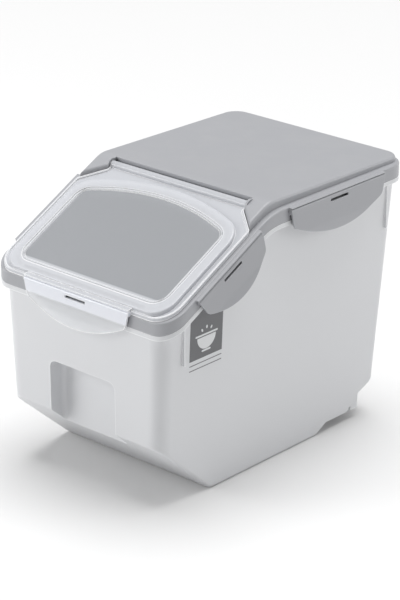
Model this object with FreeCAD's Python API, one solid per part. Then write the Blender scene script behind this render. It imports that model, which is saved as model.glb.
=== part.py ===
import FreeCAD, Part
import math
import os

# Slope-front food storage bin on two hidden rear wheels: a one-piece tub, a lift-off lid
# held by four side latches, and a hinged pouring flap with its own front latch.
# X is to the right, Y to the back and Z up. The origin is the centre of the flat bottom,
# which is the face that the bin stands on. Millimetres and degrees.

os.makedirs("parts", exist_ok=True)
Vec = FreeCAD.Vector

# ---------------------------------------------------------------- driving sizes
# Rim, which the tub, the lid and the flap all follow
rim_width = 228.0          # across the flange and the lid's skirt
rim_length = 341.0         # flange, front to back
rim_height = 248.3         # seat of the lid above the floor, at the back
slope_angle = 27.0         # fall of the front part of the rim
slope_run = 136.0          # level length of the sloping part of the rim
knee_radius = 60.0         # bend between the sloping and the level rim
rim_front_radius = 21.5
rim_rear_radius = 24.0

# Tub
wall = 2.2
base_length = 150.8        # flat bottom, front to back
base_setback = 75.6        # flat bottom behind the rim's front edge
side_overhang = 8.4        # flange beyond the side walls at the seat
front_overhang = 2.6
rear_overhang = 5.5
side_draft = 0.045         # lean of a wall, mm per mm of height
front_draft = 0.010
rear_draft = 0.065
nose_height = 64.0         # sloping underside at the front ends here
front_corner_radius = 15.0
rear_corner_radius = 12.0
base_edge_radius = 3.5
flange_thickness = 2.4
flange_lip_width = 2.0
flange_lip = 4.0           # depth of the flange's turned-down edge
upstand = 5.0              # wall above the seat, into the lid
grip_width = 84.0
grip_height = 116.0        # top of the front grip above the floor
grip_depth = 18.0
grip_corner_radius = 8.0
grip_back_radius = 5.0
base_bend_radius = 14.0    # between the nose and the flat bottom, outside
rib_reach = 3.0
rib_thickness = 2.0
rib_length = 48.0
rib_inset = 30.0           # front rib behind the rim's front edge
rear_rib_inset = 18.0      # rear rib ahead of the rear wall

# Rear wheels and the bay that holds them
bay_setback = 3.0          # front of the wheel bay ahead of the flat bottom's rear edge
skirt_lift = 10.0          # clearance of the side skirts above the floor
skirt_ramp = 19.0
skirt_height = 15.2        # end face of a skirt
tail_slope = 0.42          # rise of the underside behind the skirts
tail_reach = 67.5          # skirts behind the flat bottom
wheel_radius = 12.5
wheel_width = 12.0
wheel_inset = 12.2         # axle ahead of the skirts' rear end
axle_radius = 2.0
axle_recess = 0.6          # outer end of an axle inside the skirt's face
axle_chamfer = 0.4
bay_clearance = 2.2        # between a wheel and the bay around it
wheel_tuck = 16.0          # outer face of a wheel inside the skirt's inner face
wheel_side_gap = 0.6
wheel_edge_radius = 1.5
dish_depth = 2.0           # sunk face of a wheel between its tread and its hub
tread_depth = 3.5
hub_wall = 2.2
cheek_thickness = 3.0      # ribs beside a wheel, which hold its axle

# Lid
lid_wall = 2.2
shoulder_slope = 11.0      # skirt height square to the sloping seat
shoulder_level = 14.0      # skirt height at the back
shoulder_radius = 1.6
deck_inset = 6.4           # raised deck inside the skirt at the sides
deck_rear_inset = 2.5
deck_height = 22.3         # top of the deck above the seat, at its front
deck_fall = 3.0            # the deck is lower at the back by this
deck_front_offset = 6.3    # deck front behind the rim's bend
deck_corner_radius = 17.0
deck_edge_radius = 3.0
deck_ridge_radius = 0.9     # front edge of the deck, over the flap's hinge
cheek_reach = 29.5         # tips of the lid's cheeks ahead of the deck front
cheek_width = 21.0
cheek_rise = 1.0           # cheeks over the flap beside them
cheek_bend_radius = 28.0   # between the deck and the slope of its cheeks
cheek_gap = 0.7            # between a cheek and the flap beside it
neck_reach = 7.5           # straight sides of the flap's neck ahead of the hinge line
seal_width = 4.0
seal_height = 3.4
seal_offset = 1.1          # seal's middle inside the upstand's outer face
channel_wall = 1.6
channel_lift = 1.8         # lower edge of the seal's channel above the upstand

# Flap and its window
flap_inset = 4.5           # flap inside the lid's edge at the sides
flap_front_inset = 0.4
flap_height = 17.0         # top of the flap above the sloping seat
flap_wall = 1.8
flap_lip_width = 1.6       # raised edge around the flap
flap_lip_height = 1.3
crest_inset = 6.5          # raised panel inside the flap's edge
crest_front_inset = 1.6
crest_edge_radius = 1.4
crest_corner_margin = 12.0 # arched corners of the panel rounder than the window's
window_inset = 13.0        # window inside the raised panel
window_depth = 1.0
bead_width = 1.5           # raised line around the window
bead_outside = 1.2
bead_drop = 0.3            # top of the line below the panel
window_arch = 261.0        # radius of the window's arched top
window_radius = 13.0
window_drop = 19.0         # top of the window's arch ahead of the hinge barrel
pane_margin = 4.0          # floor of the window's recess beyond the window
flap_seal_margin = 0.8     # seal wider than the lip, on each side
hinge_radius = 4.2
hinge_gap = 1.0            # barrel of the hinge ahead of the deck
pivot_radius = 2.4
pivot_length = 4.0
aperture_margin = 2.0      # lid opening beyond the window
lip_offset = 3.2           # lip around the opening, outside its edge
lip_thickness = 2.0
lip_height = 2.0

# Latches
latch_thickness = 2.1
knuckle_radius = 2.2
rail_reach = 3.6           # hinge rail outside the lid's skirt
rail_drop = 0.6            # top of the rail below the lid's shoulder
rail_gap = 0.4             # rail over a latch's knuckle
latch_axis_out = 1.8       # hinge line outside the lid's skirt
latch_axis_drop = 4.2      # hinge line below the lid's shoulder
latch_middle = 32.3        # side latches: hinge line to the bottom of the pull
latch_end = 16.8           # side latches: hinge line to the bottom of the ends
front_latch_middle = 31.5
front_latch_end = 15.0
front_latch_lift = 1.2     # front hinge line above the flap's lower face at the rim
latch_taper = 4.0
latch_flare = 2.8          # pull outside the rest of a latch
pull_height = 9.0
pull_radius = 12.0         # bend between a latch and its pull
latch_corner_radius = 8.0
bead_share = 0.7           # length of a latch's bead as a share of the latch
latch_slot = 26.0          # length of the slot under a latch's hinge
slot_height = 2.8
slot_drop = 1.8            # top of the slot below the hinge line
slot_recess = 3.2          # hollow behind the slot, from the latch's inner face
rear_latch_length = 138.0
slope_latch_length = 95.0
front_latch_length = 133.0
rear_latch_offset = 94.0   # middle of a rear latch behind the rim's bend
slope_latch_offset = 57.5  # middle of a slope latch ahead of the rim's bend

# Printed label on the right side
label_width = 43.5
label_thickness = 0.3
label_drop = 57.2          # bottom of the label below the seat line at its front edge

# Clearances
seat_gap = 0.2             # lid over the flange
slide_gap = 0.3            # moving faces that pass each other
pivot_gap = 0.05           # round fits that turn

# ---------------------------------------------------------------- derived places
slope = math.radians(slope_angle)
tangent = math.tan(slope)
cosine = math.cos(slope)
sine = math.sin(slope)
rim_half = rim_width / 2
base_front = -base_length / 2
base_rear = base_length / 2
rim_front = base_front - base_setback
rim_rear = rim_front + rim_length
knee_y = rim_front + slope_run
far = 400.0                # longer than any piece, for cutting tools


def seat_z(y, lift=0.0):
    """Height of the sloping seat plane at y, raised square to the plane by lift."""
    return rim_height - (knee_y - y) * tangent + lift / cosine


def side_x(z, inset=0.0):
    """Outer face of the right side wall at height z."""
    return rim_half - side_overhang - side_draft * (rim_height - z) - inset


def front_y(z, inset=0.0):
    """Outer face of the front wall at height z."""
    top = seat_z(rim_front)
    return rim_front + front_overhang + front_draft * (top - z) + inset


def rear_y(z, inset=0.0):
    """Outer face of the rear wall at height z."""
    return rim_rear - rear_overhang - rear_draft * (rim_height - z) - inset


# ---------------------------------------------------------------- shape helpers
def yz(y, z):
    return Vec(0, y, z)


def xz(x, z):
    return Vec(x, 0, z)


def rounded_wire(points, radii, place):
    """Closed wire through the points, with each corner rounded by its own radius."""
    spans = []
    for index, point in enumerate(points):
        here = Vec(point[0], point[1], 0)
        before = Vec(points[index - 1][0], points[index - 1][1], 0)
        after = Vec(points[(index + 1) % len(points)][0], points[(index + 1) % len(points)][1], 0)
        back = (before - here).normalize()
        ahead = (after - here).normalize()
        half = back.getAngle(ahead) / 2
        radius = radii[index]
        reach = radius / math.tan(half)
        middle = here
        if radius > 0:
            middle = here + (back + ahead).normalize() * (radius / math.sin(half) - radius)
        ends = (here + back * reach, middle, here + ahead * reach)
        spans.append([place(p.x, p.y) for p in ends])
    edges = []
    for index, (start, middle, end) in enumerate(spans):
        if radii[index] > 0:
            edges.append(Part.Arc(start, middle, end).toShape())
        following = spans[(index + 1) % len(spans)][0]
        if end.distanceToPoint(following) > 1e-6:
            edges.append(Part.LineSegment(end, following).toShape())
    return Part.Wire(edges)


def side_prism(points, radii, half_width=far):
    """Solid of a side-view outline, from -half_width to half_width along X."""
    face = Part.Face(rounded_wire(points, radii, yz))
    face.translate(Vec(-half_width, 0, 0))
    return face.extrude(Vec(2 * half_width, 0, 0))


def plan_wire(half, front, rear, front_radius, rear_radius, z):
    corners = [(-half, front), (half, front), (half, rear), (-half, rear)]
    radii = [front_radius, front_radius, rear_radius, rear_radius]
    return rounded_wire(corners, radii, lambda x, y: Vec(x, y, z))


def plan_prism(half, front, rear, front_radius, rear_radius, bottom=-far, top=2 * far):
    wire = plan_wire(half, front, rear, front_radius, rear_radius, bottom)
    return Part.Face(wire).extrude(Vec(0, 0, top - bottom))


def rim_prism(inset):
    """Upright prism with the rim's outline, drawn in by inset."""
    front_radius = rim_front_radius - inset
    rear_radius = rim_rear_radius - inset
    return plan_prism(rim_half - inset, rim_front + inset, rim_rear - inset, front_radius, rear_radius)


def rim_corners(lift_slope, lift_level):
    """Side-view points of the seat line, raised by the two lifts, front to back."""
    bend = knee_y + (lift_level - lift_slope / cosine) / tangent
    front = rim_front - far / 8
    level = rim_height + lift_level
    return [(front, seat_z(front, lift_slope)), (bend, level), (far, level)]


def rim_slab(low, high, high_level=None):
    """Slab across the bin that follows the rim between two lifts above the seat."""
    level = high if high_level is None else high_level
    lower = rim_corners(low, low)
    upper = rim_corners(high, level)
    radii = [0, knee_radius + low, 0, 0, knee_radius + high, 0]
    return side_prism(lower + upper[::-1], radii)


def slope_slab(low, high):
    """Flat slab across the bin between two lifts above the sloping seat plane."""
    front = rim_front - far
    rear = knee_y + far
    return side_prism([(front, seat_z(front, low)), (rear, seat_z(rear, low)),
                       (rear, seat_z(rear, high)), (front, seat_z(front, high))], [0, 0, 0, 0])


def d_prism(half, front, top, arch, front_radius, back_radius):
    """Upright prism with a straight front, straight sides and an arched back."""
    body = Part.makeBox(2 * half, top - front, 3 * far, Vec(-half, front, -far))
    round_back = Part.makeCylinder(arch, 3 * far, Vec(0, top - arch, -far))
    body = body.common(round_back)
    upright = [e for e in body.Edges if abs(e.Vertexes[0].Z - e.Vertexes[-1].Z) > far]
    body = body.makeFillet(front_radius, [e for e in upright if e.Vertexes[0].Y < front + 1])
    upright = [e for e in body.Edges if abs(e.Vertexes[0].Z - e.Vertexes[-1].Z) > far]
    back_edges = [e for e in upright if e.Vertexes[0].Y > front + front_radius + 1]
    return body.makeFillet(back_radius, back_edges)


def face_normal(face):
    u_low, u_high, v_low, v_high = face.ParameterRange
    return face.normalAt((u_low + u_high) / 2, (v_low + v_high) / 2)


def top_outline(shape):
    """Edges between the upward faces of a solid and its upright sides."""
    chosen = []
    for edge in shape.Edges:
        heights = sorted(face_normal(face).z for face in shape.ancestorsOfType(edge, Part.Face))
        if len(heights) == 2 and abs(heights[0]) < 0.2 and heights[1] > 0.5:
            chosen.append(edge)
    return chosen


def mirrored(shape):
    return shape.mirror(Vec(0, 0, 0), Vec(1, 0, 0))


def fused(first, *others):
    return first.fuse(list(others)).removeSplitter()


def save(name, shape):
    if shape.ShapeType == "Compound" and len(shape.Solids) == 1:
        shape = shape.Solids[0]
    shape.exportStep("parts/" + name + ".step")


# ---------------------------------------------------------------- tub
nose = (front_y(nose_height), nose_height)
skirt_end = base_rear + tail_reach
tail_low = skirt_lift + skirt_height
bay_top = wheel_radius * 2 + bay_clearance
bay_front = base_rear + skirt_ramp - wall
axle_y = skirt_end - wheel_inset
axle_z = wheel_radius


def side_block(inset):
    """Everything between the two leaning side walls, drawn in by inset."""
    low = -far
    high = 2 * far
    face = Part.Face(rounded_wire([(-side_x(low, inset), low), (side_x(low, inset), low),
                                   (side_x(high, inset), high), (-side_x(high, inset), high)],
                                  [0, 0, 0, 0], xz))
    face.translate(Vec(0, -2 * far, 0))
    return face.extrude(Vec(0, 4 * far, 0))


def shifted_corner(before, here, after, offset):
    """Corner of a path moved to its left by offset on both sides."""
    def unit(a, b):
        return Vec(b[0] - a[0], b[1] - a[1], 0).normalize()
    first = unit(before, here)
    second = unit(here, after)
    left_first = Vec(-first.y, first.x, 0)
    left_second = Vec(-second.y, second.x, 0)
    middle = left_first + left_second
    scale = offset / (middle.Length / 2) ** 2 / 2
    return (here[0] + middle.x * scale, here[1] + middle.y * scale)


tail_meet = (rear_y(tail_low) - skirt_end) * tail_slope / (1 - rear_draft * tail_slope)
tail_end = (rear_y(tail_low + tail_meet), tail_low + tail_meet)
tail_ceiling = (skirt_end + (bay_top - tail_low) / tail_slope, bay_top)
bay_start = (base_rear - bay_setback, 0)
floor_path = [nose, (base_front, 0), bay_start, (bay_front, bay_top), tail_ceiling, tail_end]


def wall_outline(path, lift):
    """Side-view outline of the tub: an underside path, the two end walls and the rim."""
    rim = rim_corners(lift, lift)
    slope_drop = front_draft * tangent
    front_z = (seat_z(path[0][0], lift) - path[0][1] * slope_drop) / (1 - slope_drop)
    front_y_top = path[0][0] - (front_z - path[0][1]) * front_draft
    front = (front_y_top, seat_z(front_y_top, lift))
    rear = (path[-1][0] + (rim_height + lift - path[-1][1]) * rear_draft, rim_height + lift)
    return path + [rear, rim[1], front]


def inner_path():
    """Floor path moved in by the wall's thickness."""
    outline = wall_outline(floor_path, 0)
    inner = []
    for index in range(len(floor_path)):
        after = outline[(index + 1) % len(outline)]
        inner.append(shifted_corner(outline[index - 1], outline[index], after, wall))
    return inner


def tub_block(path, radii, lift, inset):
    """Solid tub with rounded upright corners."""
    outline = wall_outline(path, lift)
    block = side_prism(outline, radii + [0, knee_radius + lift, 0]).common(side_block(inset))
    front = [e for e in block.Edges if e.BoundBox.YMax < path[0][0] + 1 and e.BoundBox.ZLength > 50]
    block = block.makeFillet(front_corner_radius - inset, front)
    rear = [e for e in block.Edges if e.BoundBox.YMin > path[-1][0] - 1 and e.BoundBox.ZLength > 50]
    return block.makeFillet(rear_corner_radius - inset, rear)


def soft_bottom(block):
    """Rounds the edges between the walls and the underside, back to the skirts."""
    edges = []
    for edge in block.Edges:
        box = edge.BoundBox
        low_enough = box.ZMax < nose_height + 1
        ahead = box.YMax < base_rear + 1
        level = box.YLength < 0.01 and box.ZMax < nose_height - 10
        if low_enough and ahead and not level:
            edges.append(edge)
    return block.makeFillet(base_edge_radius, edges)


def grip(extra):
    """Space of the front grip, with its walls moved out by extra."""
    half = grip_width / 2 + extra
    back = front_y(grip_height) + grip_depth + extra
    block = Part.makeBox(2 * half, 60, grip_height + extra, Vec(-half, back - 60, 0))
    corners = [e for e in block.Edges if e.BoundBox.YLength > 50 and e.BoundBox.ZMin > 1]
    block = block.makeFillet(grip_corner_radius, corners)
    inner = [e for e in block.Edges if e.BoundBox.YMin > back - 0.01 and e.BoundBox.ZMax > 1]
    return block.makeFillet(grip_back_radius, inner)


def axle_slot(x_low, x_high):
    """Open slot from the lower edge of a skirt up to the axle."""
    round_end = Part.makeCylinder(axle_radius, x_high - x_low, Vec(x_low, axle_y, axle_z), Vec(1, 0, 0))
    mouth = Part.makeBox(x_high - x_low, axle_radius * 2, 20, Vec(x_low, -axle_radius, -20))
    mouth.rotate(Vec(0, 0, 0), Vec(1, 0, 0), -25)
    mouth.translate(Vec(0, axle_y, axle_z))
    return round_end.fuse(mouth)


def make_tub():
    skirt_path = [nose, (base_front, 0), (base_rear, 0), (base_rear + skirt_ramp, skirt_lift),
                  (skirt_end, skirt_lift), (skirt_end, tail_low), tail_end]
    outer = soft_bottom(tub_block(skirt_path, [0, base_bend_radius, 0, 0, 0, 0, 0], 0, 0))
    cavity = tub_block(inner_path(), [0, base_bend_radius - wall, 3, 3, 3, 0], 60, wall)
    bay = side_prism([bay_start, (bay_front, bay_top), tail_ceiling, (tail_ceiling[0], -far),
                      (bay_start[0], -far)], [0, 0, 0, 0, 0]).common(side_block(wall))
    flange = rim_prism(0).common(rim_slab(-flange_thickness, 0))
    lip = rim_prism(0).cut(rim_prism(flange_lip_width)).common(rim_slab(-flange_lip, 0))
    collar_outer = upstand_prism(0)
    collar = collar_outer.cut(upstand_prism(wall)).common(rim_slab(-1, upstand))
    tub = fused(outer, flange, lip)
    tub = tub.cut(grip(0)).cut(bay)
    tub = tub.cut(cavity.cut(grip(wall)))
    tub = fused(tub, collar, *side_ribs())
    tub = fused(tub, *wheel_cheeks())
    slot_start = wheel_inner_x() - 2 * cheek_thickness
    for slot in side_pair(axle_slot(slot_start, far)):
        tub = tub.cut(slot)
    return tub


def upstand_prism(inset):
    """Upright outline of the wall that stands up into the lid."""
    half = rim_half - side_overhang - inset
    front = rim_front + front_overhang + inset
    rear = rim_rear - rear_overhang - inset
    return plan_prism(half, front, rear, front_corner_radius - inset, rear_corner_radius - inset)


def side_ribs():
    """Upright ribs on the side walls under the flange, two on each side."""
    ribs = []
    inside = side_block(wall / 2)
    front = rim_front + rib_inset
    rear = rear_y(rim_height) - rear_rib_inset
    for y, top in ((front, seat_z(front)), (rear, rim_height)):
        low = top - rib_length - flange_lip
        half = side_x(low) + rib_reach
        bar = Part.makeBox(2 * half, rib_thickness, rib_length + flange_lip, Vec(-half, y, low))
        bar = bar.cut(inside)
        ribs.extend(bar.Solids)
    return [rib.common(rim_slab(-far, -flange_thickness / 2)) for rib in ribs]


def wheel_outer_x():
    """Outer face of the right wheel, clear of the skirt."""
    return side_x(0, wall) - wheel_tuck


def wheel_inner_x():
    return wheel_outer_x() - wheel_width


def wheel_cheeks():
    """Ribs under the floor on both sides of each wheel, which hold the axles."""
    outline = [(axle_y - 11, bay_top + wall / 2), (axle_y - 6, skirt_lift + 1),
               (axle_y + 6, skirt_lift + 1), (axle_y + 11, bay_top + wall / 2)]
    offset = wheel_side_gap + cheek_thickness / 2
    ribs = []
    for x in (wheel_inner_x() - offset, wheel_outer_x() + offset):
        plate = side_prism(outline, [0, 2, 2, 0], cheek_thickness / 2)
        plate.translate(Vec(x, 0, 0))
        ribs.extend(side_pair(plate))
    return ribs


# ---------------------------------------------------------------- wheels and axles
def make_wheel(side):
    """Rear wheel with a dished face and a rounded tread."""
    low = wheel_inner_x()
    body = Part.makeCylinder(wheel_radius, wheel_width, Vec(low, axle_y, axle_z), Vec(1, 0, 0))
    rims = [e for e in body.Edges if e.Length > wheel_radius * 6]
    body = body.makeFillet(wheel_edge_radius, rims)
    for start in (low - wheel_width, low + wheel_width):
        reach = wheel_width + dish_depth
        place = Vec(start - (dish_depth if start > low else 0), axle_y, axle_z)
        dish = Part.makeCylinder(wheel_radius - tread_depth, reach, place, Vec(1, 0, 0))
        hub = Part.makeCylinder(axle_radius + hub_wall, reach, place, Vec(1, 0, 0))
        body = body.cut(dish.cut(hub))
    bore = Part.makeCylinder(axle_radius + pivot_gap, 3 * wheel_width,
                             Vec(low - wheel_width, axle_y, axle_z), Vec(1, 0, 0))
    body = body.cut(bore)
    return body if side > 0 else mirrored(body)


def make_axle(side):
    start = wheel_inner_x() - wheel_side_gap - cheek_thickness
    end = side_x(axle_z) - axle_recess
    axle = Part.makeCylinder(axle_radius, end - start, Vec(start, axle_y, axle_z), Vec(1, 0, 0))
    axle = axle.makeChamfer(axle_chamfer, [e for e in axle.Edges if e.BoundBox.XLength < 0.01])
    return axle if side > 0 else mirrored(axle)


# ---------------------------------------------------------------- lid
deck_half = rim_half - deck_inset
deck_front = knee_y + deck_front_offset
deck_rear = rim_rear - deck_rear_inset
deck_top = rim_height + deck_height
cheek_front = deck_front - cheek_reach
flap_half = rim_half - flap_inset
flap_front = rim_front + flap_front_inset
crest_half = flap_half - crest_inset
crest_front = flap_front + crest_front_inset
window_half = crest_half - window_inset
window_front = crest_front + window_inset - crest_front_inset
neck_half = deck_half - cheek_width
hinge_back = deck_front - hinge_gap - hinge_radius
hinge_z = seat_z(hinge_back, flap_height - hinge_radius)
neck_front = hinge_back - neck_reach
cheek_slant = (neck_front - cheek_front) / cheek_width
window_top = hinge_back - hinge_radius - window_drop
flap_low = shoulder_slope + seat_gap
lip_top = flap_low + lip_height
opening_half = window_half + aperture_margin
opening_front = window_front - aperture_margin
opening_top = window_top + aperture_margin
opening_arch = window_arch + aperture_margin
opening_radius = window_radius + aperture_margin


def opening_prism(extra):
    """Prism of the lid's opening, grown outwards by extra."""
    return d_prism(opening_half + extra, opening_front - extra, opening_top + extra,
                   opening_arch + extra, opening_radius + extra, opening_radius + extra)


def deck_profile(drop, front_shift):
    """Side view of the deck and its cheeks, lowered and shortened by the given amounts."""
    cheek_top = seat_z(cheek_front, flap_height + cheek_rise)
    front_top = seat_z(deck_front, flap_height + cheek_rise)
    level = min(front_top, deck_top)
    low = seat_z(cheek_front) - 10
    return [(cheek_front + front_shift, low), (cheek_front + front_shift, cheek_top - drop),
            (deck_front - hinge_gap + front_shift / 2, level - drop),
            (far, deck_top - drop - deck_fall * (far - deck_front) / (deck_rear - deck_front)), (far, low)]


def deck_block(inset):
    """Raised deck with its two cheeks, as a solid that is drawn in by inset."""
    body = side_prism(deck_profile(inset, inset), [0, 0, cheek_bend_radius, 0, 0])
    half = deck_half - inset
    front = cheek_front + cheek_gap + 1.5 * inset
    middle = front + (half - neck_half) * cheek_slant
    rear = deck_rear - inset
    corner = deck_corner_radius - inset
    points = [(-half, front), (-neck_half, middle), (neck_half, middle), (half, front),
              (half, rear), (-half, rear)]
    wire = rounded_wire(points, [0, 0, 0, 0, corner, corner], lambda x, y: Vec(x, y, -far))
    body = body.common(Part.Face(wire).extrude(Vec(0, 0, 3 * far)))
    if inset > 0:
        return body
    return body.makeFillet(deck_edge_radius, top_outline(body))


def latch_rail_profile():
    """Section of the lid's hinge rail: distance out of the skirt and height above the hinge line."""
    top = latch_axis_drop - rail_drop
    hood = knuckle_radius + rail_gap
    foot = -knuckle_radius - rail_drop
    return [(-1.0, top), (rail_reach - rail_gap, top), (rail_reach, hood), (latch_axis_out, hood),
            (latch_axis_out, foot), (0, foot - latch_axis_out), (-1.0, foot - latch_axis_out)]


def along_hinge(points, radii, length):
    """Bar along Y of an XZ section, centred on the origin."""
    face = Part.Face(rounded_wire(points, radii, xz))
    face.translate(Vec(0, -length / 2, 0))
    return face.extrude(Vec(0, length, 0))


def knuckle_space(length, extra):
    """Round bar on the hinge line, for a latch's knuckle or the groove around it."""
    radius = knuckle_radius + extra
    return Part.makeCylinder(radius, length, Vec(latch_axis_out, -length / 2, 0), Vec(0, 1, 0))


def latch_rail(length):
    return along_hinge(latch_rail_profile(), [0, rail_drop, 0, 0, 0, 0, 0], length)


def latch_shape(length, middle, end, bead_drop, bead_out):
    """Latch in its own frame: X out of the bin, Y along the hinge, Z up, skirt face at X 0."""
    inner = latch_axis_out + 0.1
    outer = inner + latch_thickness
    kick = middle - pull_height
    section = [(inner, 0), (outer, 0), (outer, -kick), (outer + latch_flare, -middle - 1),
               (inner + latch_flare, -middle - 1), (inner, -kick - 0.5)]
    plate = along_hinge(section, [0, 0, pull_radius, 0, 0, pull_radius + latch_thickness], length)
    half = length / 2
    edges = [Part.LineSegment(Vec(0, -half, 1), Vec(0, half, 1)).toShape(),
             Part.LineSegment(Vec(0, half, 1), Vec(0, half - latch_taper, -end)).toShape(),
             Part.Arc(Vec(0, half - latch_taper, -end), Vec(0, 0, -middle),
                      Vec(0, latch_taper - half, -end)).toShape(),
             Part.LineSegment(Vec(0, latch_taper - half, -end), Vec(0, -half, 1)).toShape()]
    outline = Part.Face(Part.Wire(edges)).extrude(Vec(20, 0, 0))
    corners = [e for e in outline.Edges if e.BoundBox.XLength > 19 and e.BoundBox.ZMax < -1]
    outline = outline.makeFillet(latch_corner_radius, corners)
    plate = plate.common(outline)
    bead = along_hinge([(inner + 0.5, -bead_drop), (bead_out, -bead_drop - 0.8),
                        (bead_out, -bead_drop - 1.6), (inner + 0.5, -bead_drop - 3.0)],
                       [0, 0.3, 0.3, 0], length * bead_share)
    body = fused(knuckle_space(length, 0), plate, bead)
    return body.cut(slot_space())


def slot_space():
    """Slot through a latch, which goes on as a hollow in the rail behind it."""
    start = latch_axis_out - slot_recess
    place = Vec(start, -latch_slot / 2, -slot_drop - slot_height)
    return Part.makeBox(slot_recess + far, latch_slot, slot_height, place)


def on_side(shape, middle_y, hinge_z_at, lean):
    """Moves a hinge-frame shape to the right side of the rim."""
    moved = shape.copy()
    moved.rotate(Vec(0, 0, 0), Vec(1, 0, 0), lean)
    moved.translate(Vec(rim_half, middle_y, hinge_z_at))
    return moved


def on_front(shape, z):
    """Moves a hinge-frame shape to the middle of the rim's front."""
    moved = shape.copy()
    moved.rotate(Vec(0, 0, 0), Vec(0, 0, 1), -90)
    moved.translate(Vec(0, rim_front, z))
    return moved


rear_latch_y = knee_y + rear_latch_offset
rear_latch_z = rim_height + shoulder_level - latch_axis_drop
slope_latch_y = knee_y - slope_latch_offset
slope_latch_z = seat_z(slope_latch_y, shoulder_slope - latch_axis_drop)
front_latch_z = seat_z(rim_front, flap_low) + front_latch_lift
rear_bead = rear_latch_z - rim_height + flange_lip + slide_gap
slope_bead = shoulder_slope - latch_axis_drop + flange_lip + slide_gap
front_bead = front_latch_z - seat_z(rim_front) + flange_lip + 0.5 + slide_gap


def make_side_latches():
    """The four side latches, by name."""
    rear = latch_shape(rear_latch_length, latch_middle, latch_end, rear_bead, slide_gap)
    rear = on_side(rear, rear_latch_y, rear_latch_z, 0)
    lower = latch_shape(slope_latch_length, latch_middle, latch_end, slope_bead, slide_gap)
    lower = on_side(lower, slope_latch_y, slope_latch_z, slope_angle)
    return {"rear_latch_right": rear, "rear_latch_left": mirrored(rear),
            "slope_latch_right": lower, "slope_latch_left": mirrored(lower)}


def side_pair(shape):
    return [shape, mirrored(shape)]


def seal_ring(inset_out, inset_in, low, high, high_level=None):
    """Ring above the tub's upstand between two insets, over part of the lid's height."""
    ring = upstand_prism(inset_out).cut(upstand_prism(inset_in))
    return ring.common(rim_slab(low, high, high_level))


def deck_ridge(lid):
    """Front edge of the deck between the cheeks."""
    return [e for e in lid.Edges if e.BoundBox.XLength > neck_half and e.BoundBox.YLength < 0.1
            and abs(e.BoundBox.YMax - deck_front) < 0.1 and e.BoundBox.ZMin > deck_top - 1]


def make_lid():
    shell = rim_prism(0).common(rim_slab(seat_gap, shoulder_slope, shoulder_level))
    shell = shell.makeFillet(shoulder_radius, top_outline(shell))
    above = slope_slab(shoulder_slope, far)
    ahead = Part.makeBox(2 * neck_half, far, 2 * far, Vec(-neck_half, deck_front - far, -far))
    flap_room = ahead.common(above)
    deck = deck_block(0).common(rim_slab(shoulder_slope - 1, far, far)).cut(flap_room)
    outer = fused(shell, deck)
    hollow = rim_prism(lid_wall)
    hollow = hollow.common(rim_slab(-5, shoulder_slope - lid_wall, shoulder_level - lid_wall))
    front_wall = Part.makeBox(2 * (neck_half + lid_wall), far, 2 * far,
                              Vec(-neck_half - lid_wall, deck_front + lid_wall - far, -far))
    under_plate = rim_slab(shoulder_slope - lid_wall, far, far)
    deck_hollow = deck_block(lid_wall).common(rim_slab(shoulder_slope - lid_wall - 1, far, far))
    deck_hollow = deck_hollow.cut(front_wall.common(under_plate))
    lid = outer.cut(hollow).cut(deck_hollow)
    axis = Vec(1, 0, 0)
    trough_radius = hinge_radius + slide_gap
    trough = Part.makeCylinder(trough_radius, 2 * neck_half, Vec(-neck_half, hinge_back, hinge_z), axis)
    trough_wall = Part.makeCylinder(trough_radius + lid_wall, 2 * (neck_half + lid_wall),
                                    Vec(-neck_half - lid_wall, hinge_back, hinge_z), axis)
    boss_length = pivot_length + lid_wall
    boss = Part.makeCylinder(pivot_radius + lid_wall, boss_length, Vec(neck_half, hinge_back, hinge_z), axis)
    bore = Part.makeCylinder(pivot_radius + pivot_gap, pivot_length + slide_gap,
                             Vec(neck_half, hinge_back, hinge_z), axis)
    pad_half = seal_width / 2 + channel_wall
    pad = seal_ring(seal_offset - pad_half, seal_offset + pad_half, upstand + channel_lift,
                    shoulder_slope - lid_wall / 2, shoulder_level - lid_wall / 2)
    pad = pad.common(rim_prism(lid_wall / 2))
    lip = opening_prism(lip_offset + lip_thickness).cut(opening_prism(lip_offset))
    lip = lip.common(slope_slab(shoulder_slope - lid_wall / 2, lip_top))
    lid = fused(lid, trough_wall.cut(flap_room), pad, lip, *side_pair(boss))
    lid = lid.cut(trough).cut(opening_prism(0).common(rim_slab(-10, flap_height)))
    groove = seal_ring(seal_offset - seal_width / 2, seal_offset + seal_width / 2, 0,
                       upstand + seat_gap + seal_height)
    lid = lid.cut(groove)
    lid = lid.makeFillet(deck_ridge_radius, deck_ridge(lid))
    rails = [on_side(latch_rail(rear_latch_length), rear_latch_y, rear_latch_z, 0),
             on_side(latch_rail(slope_latch_length), slope_latch_y, slope_latch_z, slope_angle)]
    grooves = [on_side(knuckle_space(rear_latch_length + 1, pivot_gap), rear_latch_y, rear_latch_z, 0),
               on_side(knuckle_space(slope_latch_length + 1, pivot_gap), slope_latch_y, slope_latch_z,
                       slope_angle),
               on_side(slot_space(), rear_latch_y, rear_latch_z, 0),
               on_side(slot_space(), slope_latch_y, slope_latch_z, slope_angle)]
    for rail in rails:
        lid = fused(lid, *side_pair(rail))
    for space in grooves + [bore]:
        for cutter in side_pair(space):
            lid = lid.cut(cutter)
    return lid


def make_lid_seal():
    return seal_ring(seal_offset - seal_width / 2, seal_offset + seal_width / 2, upstand + seat_gap,
                     upstand + seat_gap + seal_height)


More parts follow.
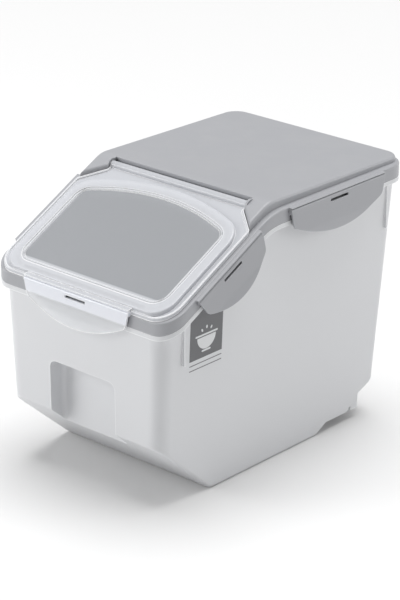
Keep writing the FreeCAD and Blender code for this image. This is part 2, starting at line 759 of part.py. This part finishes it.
# ---------------------------------------------------------------- flap
def flap_outline(inset):
    """Upright prism of the flap's whole outline, with its narrower neck at the hinge."""
    half = flap_half - inset
    neck = neck_half - slide_gap - inset
    shoulder = neck_front - inset
    tip = neck_front - (flap_half - neck_half) * cheek_slant - inset
    points = [(-half, flap_front + inset), (half, flap_front + inset), (half, tip), (neck, shoulder),
              (neck, hinge_back), (-neck, hinge_back), (-neck, shoulder), (-half, tip)]
    radius = rim_front_radius - flap_front_inset - inset
    wire = rounded_wire(points, [radius, radius, 4, 2, 0, 0, 2, 4], lambda x, y: Vec(x, y, -far))
    return Part.Face(wire).extrude(Vec(0, 0, 3 * far))


def crest_prism(inset):
    top = window_top + window_inset - inset
    return d_prism(crest_half - inset, crest_front + inset, top, window_arch + window_inset - inset,
                   rim_front_radius - 2 - inset, window_radius + crest_corner_margin - inset)


def window_prism(extra):
    return d_prism(window_half + extra, window_front - extra, window_top + extra, window_arch + extra,
                   window_radius + extra, window_radius + extra)


def make_flap():
    under = flap_height - flap_wall
    plate = flap_outline(0).common(slope_slab(flap_low, flap_low + flap_wall))
    rim = flap_outline(0).cut(flap_outline(flap_lip_width))
    rim = rim.common(slope_slab(flap_low, flap_low + flap_wall + flap_lip_height))
    crest = crest_prism(0).common(slope_slab(flap_low, flap_height))
    crest = crest.makeFillet(crest_edge_radius, top_outline(crest))
    hollow = crest_prism(flap_wall).common(slope_slab(flap_low - 2, under))
    pane = window_prism(pane_margin).common(slope_slab(flap_height - window_depth - flap_wall, under + 0.2))
    recess = window_prism(bead_outside + bead_width).common(slope_slab(flap_height - window_depth, far))
    bead = window_prism(bead_outside).cut(window_prism(bead_outside - bead_width))
    bead = bead.common(slope_slab(under, flap_height - bead_drop))
    neck = neck_half - slide_gap
    axis = Vec(1, 0, 0)
    knuckle = Part.makeCylinder(hinge_radius, 2 * neck, Vec(-neck, hinge_back, hinge_z), axis)
    pivot_total = 2 * (neck_half + pivot_length)
    pivots = Part.makeCylinder(pivot_radius, pivot_total, Vec(-pivot_total / 2, hinge_back, hinge_z), axis)
    hood = knuckle_radius + 0.7
    rail_points = [(-2.6, 4.8), (0.6, 4.8), (3.4, 3.9), (3.4, hood), (latch_axis_out, hood),
                   (latch_axis_out, 0), (0.2, -0.6), (-2.6, 1.0)]
    rail = on_front(along_hinge(rail_points, [0, 0.8, 0.5, 0, 0, 0, 0, 0], front_latch_length),
                    front_latch_z)
    groove = on_front(knuckle_space(front_latch_length + 1, pivot_gap), front_latch_z)
    flap = fused(plate, rim, crest).cut(hollow)
    flap = fused(flap, pane).cut(recess)
    flap = fused(flap, bead, knuckle, pivots, rail)
    return flap.cut(groove)


def make_flap_seal():
    ring = opening_prism(lip_offset + lip_thickness + flap_seal_margin)
    ring = ring.cut(opening_prism(lip_offset - flap_seal_margin)).cut(window_prism(pane_margin))
    return ring.common(slope_slab(lip_top + seat_gap, flap_height - flap_wall))


def make_front_latch():
    latch = latch_shape(front_latch_length, front_latch_middle, front_latch_end, front_bead, slide_gap)
    return on_front(latch, front_latch_z)


def make_label():
    """Printed label on the right wall, with its top edge along the flange."""
    front = rim_front + rib_inset + 10
    bottom = seat_z(front) - label_drop
    rear = front + label_width
    margin = flange_lip + 3
    outline = side_prism([(front, bottom), (rear, bottom), (rear, seat_z(rear, -margin)),
                          (front, seat_z(front, -margin))], [0, 0, 0, 0])
    skin = side_block(-label_thickness).cut(side_block(0))
    right = Part.makeBox(far, 2 * far, 2 * far, Vec(0, -far, -far / 2))
    return skin.common(outline).common(right)


# ---------------------------------------------------------------- output
pieces = {
    "tub": make_tub(),
    "lid": make_lid(),
    "lid_seal": make_lid_seal(),
    "flap": make_flap(),
    "flap_seal": make_flap_seal(),
    "front_latch": make_front_latch(),
    "label": make_label(),
}
pieces.update(make_side_latches())
for name, side in (("right", 1), ("left", -1)):
    pieces["wheel_" + name] = make_wheel(side)
    pieces["axle_" + name] = make_axle(side)

for node, shape in pieces.items():
    save(node, shape)
    print(node, shape.isValid(), len(shape.Solids), "solid", round(shape.Volume / 1000, 1), "cm3")
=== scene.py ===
import math

import bmesh
import bpy
from mathutils import Matrix, Vector


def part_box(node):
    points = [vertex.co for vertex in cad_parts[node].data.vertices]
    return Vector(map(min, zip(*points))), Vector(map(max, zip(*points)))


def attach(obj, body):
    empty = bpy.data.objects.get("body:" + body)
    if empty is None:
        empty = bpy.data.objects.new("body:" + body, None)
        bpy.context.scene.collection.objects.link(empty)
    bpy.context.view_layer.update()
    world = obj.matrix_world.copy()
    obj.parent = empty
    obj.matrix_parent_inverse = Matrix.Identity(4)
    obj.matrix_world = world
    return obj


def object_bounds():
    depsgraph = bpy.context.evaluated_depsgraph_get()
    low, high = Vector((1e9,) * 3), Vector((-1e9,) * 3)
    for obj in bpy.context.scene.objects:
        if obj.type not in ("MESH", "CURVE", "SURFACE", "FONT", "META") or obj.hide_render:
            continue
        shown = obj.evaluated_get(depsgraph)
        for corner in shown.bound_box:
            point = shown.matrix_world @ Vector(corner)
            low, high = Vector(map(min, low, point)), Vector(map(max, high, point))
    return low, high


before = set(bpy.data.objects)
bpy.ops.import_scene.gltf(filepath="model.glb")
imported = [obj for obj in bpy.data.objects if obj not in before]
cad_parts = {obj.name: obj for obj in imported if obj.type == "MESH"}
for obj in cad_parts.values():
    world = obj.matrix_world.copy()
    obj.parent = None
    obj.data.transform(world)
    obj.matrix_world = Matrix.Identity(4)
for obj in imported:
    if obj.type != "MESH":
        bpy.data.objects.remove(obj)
cad_box = [list(corner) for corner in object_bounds()]

# ---------------------------------------------------------------- finishes


MIX_FIRST, MIX_SECOND, MIX_RESULT = 6, 7, 2      # the colour sockets of a Mix node


class Graph:
    """A node tree, with short calls that add a node and join its sockets."""

    def __init__(self, tree):
        self.tree = tree
        self.count = 0

    def add(self, kind, values=(), **settings):
        """A new node; values are (input, value or output socket) pairs."""
        node = self.tree.nodes.new(kind)
        node.location = (200 * (self.count % 8), -220 * (self.count // 8))
        self.count += 1
        for name, setting in settings.items():
            setattr(node, name, setting)
        for socket, value in dict(values).items():
            self.put(node.inputs[socket], value)
        return node

    def put(self, socket, value):
        if isinstance(value, bpy.types.NodeSocket):
            self.tree.links.new(value, socket)
        else:
            socket.default_value = value

    def group(self, tree, values):
        """The outputs of a node group that is placed here with its own values."""
        return self.add("ShaderNodeGroup", node_tree=tree, values=values).outputs

    def math(self, operation, *values):
        """One number worked out from the given numbers or sockets."""
        return self.add("ShaderNodeMath", dict(enumerate(values)), operation=operation).outputs[0]

    def ramp(self, value, start, end, low=0.0, high=1.0):
        """A number that goes from low to high as value goes from start to end."""
        ends = {"Value": value, "From Min": start, "From Max": end, "To Min": low, "To Max": high}
        return self.add("ShaderNodeMapRange", ends).outputs[0]

    def mix(self, factor, first, second):
        """A colour between the first and the second."""
        node = self.add("ShaderNodeMix", data_type="RGBA")
        for socket, value in (("Factor", factor), (MIX_FIRST, first), (MIX_SECOND, second)):
            self.put(node.inputs[socket], value)
        return node.outputs[MIX_RESULT]

    def place(self):
        """The point on the piece, in its own coordinates."""
        return self.add("ShaderNodeTexCoord").outputs["Object"]

    def axes(self, vector):
        """The three numbers of a vector."""
        return self.add("ShaderNodeSeparateXYZ", {0: vector}).outputs

    def facing(self):
        """The three numbers of the surface's normal."""
        return self.axes(self.add("ShaderNodeNewGeometry").outputs["Normal"])


def group_with(name, inputs, outputs):
    """A shader node group with the named sockets, and its graph, input and output nodes."""
    tree = bpy.data.node_groups.new(name, "ShaderNodeTree")
    for label, kind, value in inputs:
        socket = tree.interface.new_socket(label, in_out="INPUT", socket_type=kind)
        socket.default_value = value
    for label, kind in outputs:
        tree.interface.new_socket(label, in_out="OUTPUT", socket_type=kind)
    graph = Graph(tree)
    return graph, graph.add("NodeGroupInput").outputs, graph.add("NodeGroupOutput")


def make_moulded_skin():
    """The fine matt texture that a spark-eroded mould leaves, with a slow waviness under it."""
    graph, given, out = group_with(
        "moulded skin",
        [
            ("Roughness", "NodeSocketFloat", 0.4),
            ("Spread", "NodeSocketFloat", 0.06),
            ("Grain Scale", "NodeSocketFloat", 1800.0),
            ("Grain Depth", "NodeSocketFloat", 0.00004),
            ("Waviness", "NodeSocketFloat", 0.0003),
        ],
        [("Roughness", "NodeSocketFloat"), ("Normal", "NodeSocketVector")],
    )
    place = graph.place()
    grain = graph.add(
        "ShaderNodeTexNoise",
        {"Vector": place, "Scale": given["Grain Scale"], "Detail": 3.0, "Roughness": 0.6},
    ).outputs["Fac"]
    wave = graph.add("ShaderNodeTexNoise", {"Vector": place, "Scale": 22.0, "Detail": 1.0}).outputs["Fac"]
    patches = graph.add("ShaderNodeTexNoise", {"Vector": place, "Scale": 60.0, "Detail": 4.0})
    shift = graph.math("SUBTRACT", patches.outputs["Fac"], 0.5)
    rough = graph.math("MULTIPLY_ADD", shift, given["Spread"], given["Roughness"])
    slow = graph.add("ShaderNodeBump", {"Strength": 1.0, "Distance": given["Waviness"], "Height": wave})
    fine = graph.add(
        "ShaderNodeBump",
        {"Strength": 1.0, "Distance": given["Grain Depth"], "Height": grain, "Normal": slow.outputs[0]},
    )
    graph.put(out.inputs["Roughness"], rough)
    graph.put(out.inputs["Normal"], fine.outputs[0])
    return graph.tree


def make_painted_edge_highlight():
    """Paints a highlight along rounded edges: the colour turns lighter where the surface rounds over."""
    graph, given, out = group_with(
        "edge shade",
        [
            ("Color", "NodeSocketColor", (0.8, 0.8, 0.8, 1)),
            ("Highlight Color", "NodeSocketColor", (1, 1, 1, 1)),
            ("Width", "NodeSocketFloat", 0.0012),
            ("Amount", "NodeSocketFloat", 0.5),
        ],
        [("Color", "NodeSocketColor"), ("Mask", "NodeSocketFloat")],
    )
    rounded = graph.add("ShaderNodeBevel", {"Radius": given["Width"]}, samples=12).outputs[0]
    flat = graph.add("ShaderNodeNewGeometry").outputs["Normal"]
    match = graph.add(
        "ShaderNodeVectorMath", {0: rounded, 1: flat}, operation="DOT_PRODUCT"
    ).outputs["Value"]
    mask = graph.math("MULTIPLY", graph.ramp(match, 0.99, 0.8), given["Amount"])
    graph.put(out.inputs["Color"], graph.mix(mask, given["Color"], given["Highlight Color"]))
    graph.put(out.inputs["Mask"], mask)
    return graph.tree


def make_dust():
    """A thin dust that lies on faces that look up, in soft patches."""
    graph, given, out = group_with(
        "dust",
        [
            ("Color", "NodeSocketColor", (0.8, 0.8, 0.8, 1)),
            ("Dust Color", "NodeSocketColor", (0.62, 0.6, 0.57, 1)),
            ("Amount", "NodeSocketFloat", 0.06),
        ],
        [("Color", "NodeSocketColor")],
    )
    patches = graph.add(
        "ShaderNodeTexNoise", {"Vector": graph.place(), "Scale": 35.0, "Detail": 6.0, "Roughness": 0.7}
    ).outputs["Fac"]
    up = graph.ramp(graph.facing()[2], 0.2, 1.0)
    lying = graph.math("MULTIPLY", up, graph.ramp(patches, 0.42, 0.7))
    mask = graph.math("MULTIPLY", lying, given["Amount"])
    graph.put(out.inputs["Color"], graph.mix(mask, given["Color"], given["Dust Color"]))
    return graph.tree


def make_painted_crevice_shade():
    """Paints shade into narrow slots and the seams where two mouldings meet, darkening them towards black
    where little open space is near.
    """
    graph, given, out = group_with(
        "crevice shade",
        [
            ("Color", "NodeSocketColor", (0.8, 0.8, 0.8, 1)),
            ("Reach", "NodeSocketFloat", 0.004),
            ("Amount", "NodeSocketFloat", 0.9),
        ],
        [("Color", "NodeSocketColor")],
    )
    open_sky = graph.add(
        "ShaderNodeAmbientOcclusion", {"Distance": given["Reach"]}, samples=8
    ).outputs["AO"]
    mask = graph.math("MULTIPLY", graph.ramp(open_sky, 0.55, 0.25), given["Amount"])
    graph.put(out.inputs["Color"], graph.mix(mask, given["Color"], (0.012, 0.012, 0.014, 1)))
    return graph.tree


def make_painted_floor_shade():
    """Paints shade onto the lowest faces that lean over the floor, darker towards the floor and in uneven
    patches.
    """
    graph, given, out = group_with(
        "floor scuffs",
        [
            ("Color", "NodeSocketColor", (0.8, 0.8, 0.8, 1)),
            ("Height", "NodeSocketFloat", 0.05),
            ("Amount", "NodeSocketFloat", 0.3),
        ],
        [("Color", "NodeSocketColor")],
    )
    place = graph.place()
    near = graph.ramp(graph.axes(place)[2], given["Height"], 0.0)
    under = graph.ramp(graph.facing()[2], -0.1, -0.5)
    patchiness = graph.add(
        "ShaderNodeTexNoise", {"Vector": place, "Scale": 90.0, "Detail": 5.0, "Roughness": 0.65}
    ).outputs["Fac"]
    mask = given["Amount"]
    for part in (near, under, graph.ramp(patchiness, 0.3, 0.7, 0.8, 1.0)):
        mask = graph.math("MULTIPLY", mask, part)
    graph.put(out.inputs["Color"], graph.mix(mask, given["Color"], (0.2, 0.2, 0.2, 1)))
    return graph.tree


def make_window_mask():
    """One inside an arched window with straight sides and front, seen from above, and nought outside."""
    graph, given, out = group_with(
        "window mask",
        [
            ("Half Width", "NodeSocketFloat", 0.09),
            ("Front", "NodeSocketFloat", -0.14),
            ("Arch Middle", "NodeSocketFloat", -0.3),
            ("Arch Radius", "NodeSocketFloat", 0.26),
        ],
        [("Mask", "NodeSocketFloat")],
    )
    place = graph.place()
    x, y = graph.axes(place)[:2]
    reach = graph.add("ShaderNodeCombineXYZ", {0: x, 1: graph.math("SUBTRACT", y, given["Arch Middle"])})
    away = graph.add("ShaderNodeVectorMath", {0: reach.outputs[0]}, operation="LENGTH").outputs["Value"]
    inside = graph.math("SUBTRACT", given["Half Width"], graph.math("ABSOLUTE", x))
    for outer, inner in ((y, given["Front"]), (given["Arch Radius"], away)):
        inside = graph.math("MINIMUM", inside, graph.math("SUBTRACT", outer, inner))
    graph.put(out.inputs["Mask"], graph.ramp(inside, -0.0004, 0.0008))
    return graph.tree


def make_level_mask():
    """One under a level and nought over it, for a moulding that is clearer towards its lower edge."""
    graph, given, out = group_with(
        "level mask", [("Level", "NodeSocketFloat", 0.0)], [("Mask", "NodeSocketFloat")]
    )
    below = graph.math("SUBTRACT", given["Level"], graph.axes(graph.place())[2])
    graph.put(out.inputs["Mask"], graph.ramp(below, -0.001, 0.001))
    return graph.tree


MOULDED_SKIN = make_moulded_skin()
PAINTED_EDGE_HIGHLIGHT = make_painted_edge_highlight()
DUST = make_dust()
PAINTED_CREVICE_SHADE = make_painted_crevice_shade()
PAINTED_FLOOR_SHADE = make_painted_floor_shade()
WINDOW_MASK = make_window_mask()
LEVEL_MASK = make_level_mask()
EDGE_COVER = 0.92       # how much a thick edge of clear plastic hides


def plastic(
    name, color, highlight_color, skin, edge=0.4, edge_width=0.0012, dust=0.05, crevice=0.0, scuffs=0.0,
    body=1.0, window=None, **surface
):
    """A moulded plastic: body colour, painted highlights along its edges, a little dust, painted shade in
    crevices and near the floor where asked, and the mould's grain.

    A body under 1 lets that much less of what is behind it be hidden, except along its edges.
    A window has a colour and a body of its own, where its mask is one."""
    material = bpy.data.materials.new(name)
    material.use_nodes = True
    material.node_tree.nodes.clear()
    graph = Graph(material.node_tree)
    base, cover = (*color, 1), body
    if window:
        pane = graph.group(window["mask"], window["outline"])["Mask"]
        base = graph.mix(pane, base, (*window["color"], 1))
        cover = graph.ramp(pane, 0.0, 1.0, body, window["body"])
    highlight_inputs = {"Color": base, "Highlight Color": (*highlight_color, 1), "Width": edge_width, "Amount": edge}
    # painted highlight: the colour turns lighter along rounded edges
    highlighted = graph.group(PAINTED_EDGE_HIGHLIGHT, highlight_inputs)
    finish = highlighted["Color"]
    # then dust, painted shade in crevices and painted shade near the floor, each only where its amount is
    # given
    for tree, amount in ((DUST, dust), (PAINTED_CREVICE_SHADE, crevice), (PAINTED_FLOOR_SHADE, scuffs)):
        if amount:
            finish = graph.group(tree, {"Color": finish, "Amount": amount})["Color"]
    moulded = graph.group(MOULDED_SKIN, skin)
    shader = graph.add("ShaderNodeBsdfPrincipled")
    for socket, value in surface.items():
        graph.put(shader.inputs[socket.replace("_", " ")], value)
    graph.put(shader.inputs["Base Color"], finish)
    graph.put(shader.inputs["Roughness"], moulded["Roughness"])
    graph.put(shader.inputs["Normal"], moulded["Normal"])
    if body < 1:
        graph.put(shader.inputs["Alpha"], graph.ramp(highlighted["Mask"], 0.0, 1.0, cover, EDGE_COVER))
    graph.put(graph.add("ShaderNodeOutputMaterial").inputs["Surface"], shader.outputs[0])
    return material


flap_low, flap_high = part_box("flap")
SIDE_BORDER, FRONT_BORDER = 0.0206, 0.0196      # frosted border around the window
ARCH_RADIUS = 0.262
ARCH_TOP = -0.036                               # where the window's arch ends, front to back
FLANGE_DROP = 0.0135                            # the front latch is clearer below the tub's flange
WINDOW = {
    "Half Width": (flap_high.x - flap_low.x) / 2 - SIDE_BORDER,
    "Front": flap_low.y + FRONT_BORDER,
    "Arch Middle": ARCH_TOP - ARCH_RADIUS,
    "Arch Radius": ARCH_RADIUS,
}
CLEAR_PART = {"Level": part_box("front_latch")[1].z - FLANGE_DROP}
# milky tub: painted highlights on its edges and painted shade on its low faces over the floor
milky_tub = plastic(
    "milky tub plastic", (0.7, 0.708, 0.725), (0.97, 0.98, 0.99),
    {"Roughness": 0.42, "Spread": 0.12}, edge=0.9, edge_width=0.0015, scuffs=0.28, IOR=1.49,
)
# grey lid: painted highlights on its edges and painted shade in its slots and seams
grey_lid = plastic(
    "grey lid plastic", (0.372, 0.378, 0.398), (0.6, 0.61, 0.64),
    {"Roughness": 0.38, "Spread": 0.12}, edge=0.5, crevice=0.95, IOR=1.49,
)
# frosted flap: painted highlights on its edges; its window's grey colour is painted shade, standing for
# the dim inside of the tub seen through the clearer pane
frosted_clear = plastic(
    "frosted clear plastic", (0.76, 0.775, 0.815), (1, 1, 1),
    {"Roughness": 0.3, "Spread": 0.04}, edge=1.0, edge_width=0.0022, dust=0.0, body=0.62,
    window={"mask": WINDOW_MASK, "outline": WINDOW, "color": (0.5, 0.515, 0.54), "body": 0.5},
    IOR=1.49, Coat_Weight=0.4, Coat_Roughness=0.1,
)
# clear latch: painted highlights on its edges
clear_latch = plastic(
    "clear latch plastic", (0.9, 0.92, 0.98), (1, 1, 1),
    {"Roughness": 0.3, "Spread": 0.04}, edge=0.95, edge_width=0.0018, dust=0.0, body=0.8,
    window={"mask": LEVEL_MASK, "outline": CLEAR_PART, "color": (0.84, 0.855, 0.88), "body": 0.4},
    IOR=1.49, Coat_Weight=0.6, Coat_Roughness=0.12,
)
seal_silicone = plastic(
    "seal silicone", (0.66, 0.67, 0.68), (0.75, 0.76, 0.77), {"Roughness": 0.55}, dust=0.0, IOR=1.41
)
label_ink = plastic(
    "label ink", (0.145, 0.147, 0.155), (0.2, 0.2, 0.21), {"Roughness": 0.36, "Grain Depth": 0.00001},
    edge=0.2, dust=0.02, IOR=1.49,
)
print_white = plastic(
    "label print white", (0.74, 0.75, 0.76), (0.8, 0.8, 0.8), {"Roughness": 0.36}, edge=0.0, dust=0.0
)
print_grey = plastic(
    "label print grey", (0.2, 0.2, 0.21), (0.2, 0.2, 0.21), {"Roughness": 0.36}, edge=0.0, dust=0.0
)
wheel_plastic = plastic(
    "wheel plastic", (0.2, 0.203, 0.21), (0.3, 0.3, 0.31), {"Roughness": 0.45}, IOR=1.5
)
axle_steel = plastic(
    "axle steel", (0.55, 0.56, 0.57), (0.7, 0.7, 0.7), {"Roughness": 0.3, "Grain Scale": 900.0},
    dust=0.0, Metallic=1.0,
)

FINISHES = {
    "tub": milky_tub, "lid": grey_lid, "lid_seal": seal_silicone,
    "flap": frosted_clear, "flap_seal": seal_silicone, "front_latch": clear_latch,
    "rear_latch_right": grey_lid, "rear_latch_left": grey_lid,
    "slope_latch_right": grey_lid, "slope_latch_left": grey_lid,
    "wheel_right": wheel_plastic, "wheel_left": wheel_plastic,
    "axle_right": axle_steel, "axle_left": axle_steel, "label": label_ink,
}
for node, finish in FINISHES.items():
    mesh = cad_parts[node].data
    mesh.materials.clear()
    mesh.materials.append(finish)

# ---------------------------------------------------------------- printed marks on the right wall

INK = 0.00012           # thickness of a printed line
label_low, label_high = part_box("label")
LABEL_SKIN = 0.0003     # thickness of the label itself
wall_lean = (label_high.x - label_low.x - LABEL_SKIN) / (label_high.z - label_low.z)
label_width = label_high.y - label_low.y


def add_piece(name, work, finish, body):
    """Makes a bmesh a finished piece that rides on a body."""
    bmesh.ops.recalc_face_normals(work, faces=work.faces)
    mesh = bpy.data.meshes.new(name)
    work.to_mesh(mesh)
    work.free()
    mesh.materials.append(finish)
    piece = bpy.data.objects.new(name, mesh)
    bpy.context.scene.collection.objects.link(piece)
    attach(piece, body)
    return piece


def on_wall(across, up, proud):
    """Turns a flat drawing (X along the wall, Y up, Z out) onto the leaning right wall.

    across and up place its origin from the label's lower front corner."""
    lean = math.atan(wall_lean)
    origin = Vector((label_low.x + proud + wall_lean * up, label_low.y + across, label_low.z + up))
    out = Vector((math.cos(lean), 0, -math.sin(lean)))
    along = Vector((0, 1, 0))
    rise = Vector((math.sin(lean), 0, math.cos(lean)))
    turn = Matrix((along, rise, out)).transposed().to_4x4()
    return Matrix.Translation(origin) @ turn


def bar(work, x, y, width, height):
    """Flat rule with rounded ends, added to a drawing."""
    made = bmesh.ops.create_grid(work, x_segments=1, y_segments=1, size=0.5)
    bmesh.ops.scale(work, vec=(width, height, 1), verts=made["verts"])
    bmesh.ops.translate(work, vec=(x, y, 0), verts=made["verts"])
    bmesh.ops.bevel(
        work, geom=made["verts"], offset=min(width, height) * 0.45, segments=4, profile=0.5,
        affect="VERTICES", material=-1,
    )


def raise_ink(work):
    """Gives a flat drawing the thickness of its ink."""
    made = bmesh.ops.extrude_face_region(work, geom=work.faces[:])
    bmesh.ops.translate(
        work, vec=(0, 0, INK), verts=[v for v in made["geom"] if isinstance(v, bmesh.types.BMVert)]
    )


def half_disc(work, x, y, radius):
    """Lower half of a disc, for a bowl."""
    made = bmesh.ops.create_circle(work, cap_ends=True, segments=48, radius=radius)
    bmesh.ops.translate(work, vec=(x, y, 0), verts=made["verts"])
    bmesh.ops.bisect_plane(
        work, geom=work.verts[:] + work.edges[:] + work.faces[:], plane_co=(x, y, 0),
        plane_no=(0, 1, 0), clear_outer=True,
    )


BOWL_RADIUS, BOWL_RIM_Y = 0.0125, 0.0205       # bowl, up from the label's lower edge
BAR_HEIGHT = 0.0018                             # thickness of the drawing's rounded bars
GRAIN_RADIUS, GRAIN_NARROWING = 0.0017, 0.62
GRAIN_STEP, GRAIN_TURN = 0.0062, 0.5            # between grains, across and in radians
GRAIN_HEIGHTS = (0.0275, 0.0295, 0.0275)
RULE_DROPS, RULE_HEIGHT = (0.0045, 0.0095), 0.0009


def make_bowl_print():
    """A bowl with three grains over it, in white on the label."""
    work = bmesh.new()
    middle = label_width / 2
    half_disc(work, middle, BOWL_RIM_Y, BOWL_RADIUS)
    bar(work, middle, 0.0225, 0.030, BAR_HEIGHT)
    bar(work, middle, 0.0066, 0.012, BAR_HEIGHT)
    for step, height in zip((-1, 0, 1), GRAIN_HEIGHTS):
        grain = bmesh.ops.create_circle(work, cap_ends=True, segments=20, radius=GRAIN_RADIUS)["verts"]
        bmesh.ops.scale(work, vec=(GRAIN_NARROWING, 1, 1), verts=grain)
        bmesh.ops.rotate(work, matrix=Matrix.Rotation(-GRAIN_TURN * step, 3, "Z"), verts=grain)
        bmesh.ops.translate(work, vec=(middle + GRAIN_STEP * step, height, 0), verts=grain)
    raise_ink(work)
    bmesh.ops.transform(work, matrix=on_wall(0, 0, LABEL_SKIN), verts=work.verts)
    add_piece("label_bowl", work, print_white, "tub")


def make_rule_print():
    """Two fine rules under the label, on the bare wall."""
    work = bmesh.new()
    for drop in RULE_DROPS:
        bar(work, label_width / 2, -drop, label_width, RULE_HEIGHT)
    raise_ink(work)
    bmesh.ops.transform(work, matrix=on_wall(0, 0, 0), verts=work.verts)
    add_piece("label_rules", work, print_grey, "tub")


make_bowl_print()
make_rule_print()

# ---------------------------------------------------------------- camera, floor and light

BIN_MIDDLE = (0, 0.02, 0.12)    # what the lights point at


def look_at(thing, place, target):
    thing.location = place
    thing.rotation_euler = (Vector(target) - Vector(place)).to_track_quat("-Z", "Y").to_euler()


camera_data = bpy.data.cameras.new("camera")
camera_data.lens = 144.1
camera_data.sensor_width = 36
camera = bpy.data.objects.new("camera", camera_data)
bpy.context.scene.collection.objects.link(camera)
azimuth, elevation, distance = math.radians(42.1), math.radians(22.2), 2.3575
target = Vector((-0.0252, 0.0427, 0.1225))
away = Vector((
    math.sin(azimuth) * math.cos(elevation),
    -math.cos(azimuth) * math.cos(elevation),
    math.sin(elevation),
))
look_at(camera, target + away * distance, target)
bpy.context.scene.camera = camera

FLOOR_REACH = 60        # far past the horizon of any view
floor_mesh = bpy.data.meshes.new("floor")
work = bmesh.new()
on_ground = Matrix.Translation((0, 0, cad_box[0][2]))
bmesh.ops.create_grid(work, x_segments=1, y_segments=1, size=FLOOR_REACH, matrix=on_ground)
work.to_mesh(floor_mesh)
floor = bpy.data.objects.new("floor", floor_mesh)
bpy.context.scene.collection.objects.link(floor)
floor_paint = bpy.data.materials.new("floor paint")
floor_paint.use_nodes = True
shader = floor_paint.node_tree.nodes["Principled BSDF"]
shader.inputs["Base Color"].default_value = (0.72, 0.72, 0.72, 1)
shader.inputs["Roughness"].default_value = 0.9
shader.inputs["Emission Color"].default_value = (1, 1, 1, 1)
shader.inputs["Emission Strength"].default_value = 0.05
floor_mesh.materials.append(floor_paint)

world = bpy.data.worlds.new("studio")
world.use_nodes = True
world.node_tree.nodes["Background"].inputs[0].default_value = (1, 1, 1, 1)
world.node_tree.nodes["Background"].inputs[1].default_value = 0.28
bpy.context.scene.world = world


def softbox(name, place, size, power):
    data = bpy.data.lights.new(name, "AREA")
    data.shape = "RECTANGLE"
    data.size, data.size_y = size
    data.energy = power
    lamp = bpy.data.objects.new(name, data)
    bpy.context.scene.collection.objects.link(lamp)
    look_at(lamp, place, BIN_MIDDLE)


softbox("left softbox", (-1.5, -1.5, 0.9), (1.2, 1.2), 22)
softbox("right softbox", (1.5, 1.5, 0.9), (1.2, 1.2), 10)

# a wide bank of light overhead, even over the whole floor
overhead_data = bpy.data.lights.new("overhead bank", "SUN")
overhead_data.energy = 2.85
overhead_data.angle = math.radians(50)
overhead = bpy.data.objects.new("overhead bank", overhead_data)
bpy.context.scene.collection.objects.link(overhead)
look_at(overhead, (-0.1, 0.4, 2.0), BIN_MIDDLE)
bpy.context.scene.view_settings.view_transform = "Standard"
